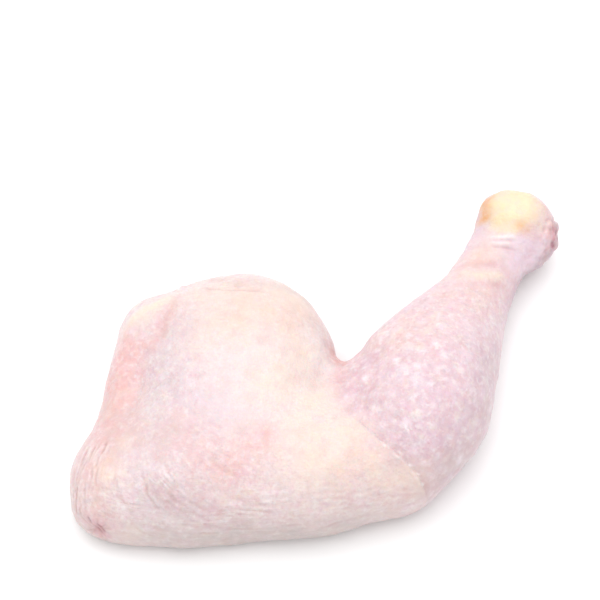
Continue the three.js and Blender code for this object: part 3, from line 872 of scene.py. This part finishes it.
def node(tree, kind, inputs=None, **settings):
    """Adds one node with its settings; each input is a value or the output that it is linked to."""
    made = tree.nodes.new(kind)
    for name, value in settings.items():
        setattr(made, name, value)
    for key, value in (inputs or {}).items():
        if isinstance(value, bpy.types.NodeSocket):
            tree.links.new(value, made.inputs[key])
        else:
            made.inputs[key].default_value = value
    return made


finish = bpy.data.materials.new("raw_chicken_skin_plucked_moist")
finish.use_nodes = True
tree = finish.node_tree
tree.nodes.clear()
within = node(tree, "ShaderNodeTexCoord").outputs["Object"]
shown = {}  # what the mesh keeps, as the nodes read it
for name in kept:
    shown[name] = node(tree, "ShaderNodeAttribute", attribute_name=name, attribute_type="GEOMETRY").outputs["Fac"]
noise = {}
for name, (size, detail, roughness, shift) in NOISES.items():
    shifted = node(tree, "ShaderNodeVectorMath", {0: within, 1: (shift, shift * 0.7, shift * 1.3)}, operation="ADD")
    settings = {"Vector": shifted.outputs[0], "Scale": 1 / (size * MM), "Detail": detail, "Roughness": roughness}
    noise[name] = node(tree, "ShaderNodeTexNoise", settings).outputs["Fac"]

coats = [(shown["drumstick"], DRUMSTICK_COLOUR)]  # how much of each colour shows, and the colour, from below up
for name, shade, strength, _ in LAYERS:
    blotches = {"Value": noise[name], "From Min": 0.3, "From Max": 0.7}
    blotches.update({"To Min": BLOTCHED[0] * strength, "To Max": BLOTCHED[1] * strength})
    broken = node(tree, "ShaderNodeMapRange", blotches).outputs[0]
    share = node(tree, "ShaderNodeMath", {0: shown[name], 1: broken}, operation="MULTIPLY", use_clamp=True)
    coats.append((share.outputs[0], shade))
for _, shade, low, high, strength in MOTTLING:
    blotches = {"Value": noise[shade], "From Min": low, "From Max": high, "To Max": strength}
    broken = node(tree, "ShaderNodeMapRange", blotches).outputs[0]
    share = node(tree, "ShaderNodeMath", {0: broken, 1: shown["mottled"]}, operation="MULTIPLY")
    coats.append((share.outputs[0], shade))

# Sunk lines get a darker, warmer painted shade, as light doesn't leave them as easily, and so do the hollows of
# the gathers.
depth = {"Value": shown["relief"], "From Min": 0.0, "From Max": -0.9, "To Max": 0.6}
coats.append((node(tree, "ShaderNodeMapRange", depth).outputs[0], SUNK_SHADE_COLOUR))
axes = {}
for axis, (name, spacing) in zip("XY", GATHERS.items()):
    scaled = node(tree, "ShaderNodeMath", {0: shown[name], 1: 1 / (spacing * MM)}, operation="MULTIPLY")
    axes[axis] = scaled.outputs[0]
stretched = node(tree, "ShaderNodeCombineXYZ", axes).outputs[0]
settings = {"Vector": stretched, "Scale": 1.0, "Detail": 2.0, "Distortion": 0.4}
gathers = node(tree, "ShaderNodeTexNoise", settings).outputs["Fac"]
depth = {"Value": gathers, "From Min": 0.5, "From Max": 0.25, "To Max": 0.28}
gathers_shade = node(tree, "ShaderNodeMapRange", depth).outputs[0]
share = node(tree, "ShaderNodeMath", {0: gathers_shade, 1: shown["gathered"]}, operation="MULTIPLY")
coats.append((share.outputs[0], GATHERS_SHADE_COLOUR))

colour = paint(THIGH_COLOUR)
for share, shade in coats:
    colour = node(tree, "ShaderNodeMix", {0: share, 6: colour, 7: paint(shade)}, data_type="RGBA").outputs[2]
toned = {0: 1.0, 6: colour, 7: paint(SKIN["tone"])}
colour = node(tree, "ShaderNodeMix", toned, data_type="RGBA", blend_type="MULTIPLY").outputs[2]

pores = node(tree, "ShaderNodeTexVoronoi", {"Vector": within, "Scale": 1 / (PORES_APART * MM)}, feature="F1")
gathers = node(tree, "ShaderNodeMath", {0: gathers, 1: shown["gathered"]}, operation="MULTIPLY").outputs[0]
heights = {"pores": pores.outputs["Distance"], "grain": noise["grain"], "swell": noise["swell"], "gathers": gathers}
fine = 0.0
for name, strength in BUMPS.items():
    fine = node(tree, "ShaderNodeMath", {0: heights[name], 1: strength, 2: fine}, operation="MULTIPLY_ADD").outputs[0]
texture = node(tree, "ShaderNodeBump", {"Height": fine, "Strength": BUMP["strength"], "Distance": BUMP["mm"] * MM})

# Wet patches shine more: the film of water breaks up over spots some 6 mm across.
film = {"Value": noise["film"], "From Min": 0.35, "From Max": 0.7}
film.update({"To Min": SKIN["roughness"] + SKIN["drier"], "To Max": SKIN["roughness"] - SKIN["wetter"]})
wetness = node(tree, "ShaderNodeMapRange", film).outputs[0]
shader = node(
    tree,
    "ShaderNodeBsdfPrincipled",
    {
        "Base Color": colour,
        "Roughness": wetness,
        "IOR": SKIN["ior"],
        "Subsurface Weight": GLOW["weight"],
        "Subsurface Radius": GLOW["by_colour"],
        "Subsurface Scale": GLOW["mm"] * MM,
        "Coat Weight": WATER["weight"],
        "Coat Roughness": WATER["roughness"],
        "Normal": texture.outputs[0],
    },
)
node(tree, "ShaderNodeOutputMaterial", {"Surface": shader.outputs[0]})
skin_mesh.materials.clear()
skin_mesh.materials.append(finish)

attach(leg, "root")
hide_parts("leg")

# THE TABLE
# A seamless sheet of white laminate, pressed and matt, so that it shows no reflections. It is wide enough to reach
# past the frame on every side, and lies a hair below the leg, so that no two faces share a place.
TABLE = {"side": 6000.0, "drop": 0.05, "grain": 40}  # mm
LAMINATE = {"colours": ("#f7f7f7", "#fafafa"), "roughness": 0.7, "ior": 1.45}

table_mesh = bpy.data.meshes.new("white_table")
half = TABLE["side"] * MM / 2
table_mesh.from_pydata([(-half, -half, 0), (half, -half, 0), (half, half, 0), (-half, half, 0)], [], [(0, 1, 2, 3)])
table = bpy.data.objects.new("white_table", table_mesh)
table.location.z = -TABLE["drop"] * MM
bpy.context.scene.collection.objects.link(table)
laminate = bpy.data.materials.new("white_laminate_matt")
laminate.use_nodes = True
tree = laminate.node_tree
tree.nodes.clear()
grain = node(tree, "ShaderNodeTexNoise", {"Scale": 1 / (TABLE["grain"] * MM), "Detail": 2.0}).outputs["Fac"]
darker, paler = [paint(shade) for shade in LAMINATE["colours"]]
mix = node(tree, "ShaderNodeMix", {0: grain, 6: darker, 7: paler}, data_type="RGBA").outputs[2]
look = {"Base Color": mix, "Roughness": LAMINATE["roughness"], "IOR": LAMINATE["ior"]}
sheet = node(tree, "ShaderNodeBsdfPrincipled", look)
node(tree, "ShaderNodeOutputMaterial", {"Surface": sheet.outputs[0]})
table_mesh.materials.append(laminate)

# THE LIGHT
# A big soft box of white cloth hangs above and a little behind, in a white room that throws the light back from every
# side, so that only a faint shadow lies to the right and below.
ROOM_LIGHT = 0.76
SOFT_BOX = {"at": (-85, 160, 1100), "side": 1600, "watts": 13.6}

room = bpy.data.worlds.new("white_room")
room.use_nodes = True
room.node_tree.nodes["Background"].inputs["Color"].default_value = (1.0, 1.0, 1.0, 1.0)
room.node_tree.nodes["Background"].inputs["Strength"].default_value = ROOM_LIGHT
bpy.context.scene.world = room
lamp = bpy.data.lights.new("soft_box", "AREA")
lamp.shape = "SQUARE"
lamp.size = SOFT_BOX["side"] * MM
lamp.energy = SOFT_BOX["watts"]
soft_box = bpy.data.objects.new("soft_box", lamp)
soft_box.location = [v * MM for v in SOFT_BOX["at"]]
soft_box.rotation_euler = (-Vector(soft_box.location)).to_track_quat("-Z", "Y").to_euler()
bpy.context.scene.collection.objects.link(soft_box)
bpy.context.scene.view_settings.view_transform = "Standard"

# THE CAMERA
# A long lens looks down from 60 degrees at the leg's near side, as a hand-held product shot does, with the whole leg
# in the frame.
CAMERA = {"lens": 100.0, "sensor": 36.0, "distance": 616.7, "elevation": 60.0, "aim": (-7.8, 25.0, 14.0), "near": 10}

lens = bpy.data.cameras.new("camera")
lens.lens = CAMERA["lens"]
lens.sensor_width = CAMERA["sensor"]
lens.clip_start = CAMERA["near"] * MM
camera = bpy.data.objects.new("camera", lens)
rise = math.radians(CAMERA["elevation"])
back = Vector((0, -math.cos(rise), math.sin(rise)))
camera.location = (Vector(CAMERA["aim"]) + back * CAMERA["distance"]) * MM
camera.rotation_euler = (-back).to_track_quat("-Z", "Y").to_euler()
bpy.context.scene.collection.objects.link(camera)
bpy.context.scene.camera = camera
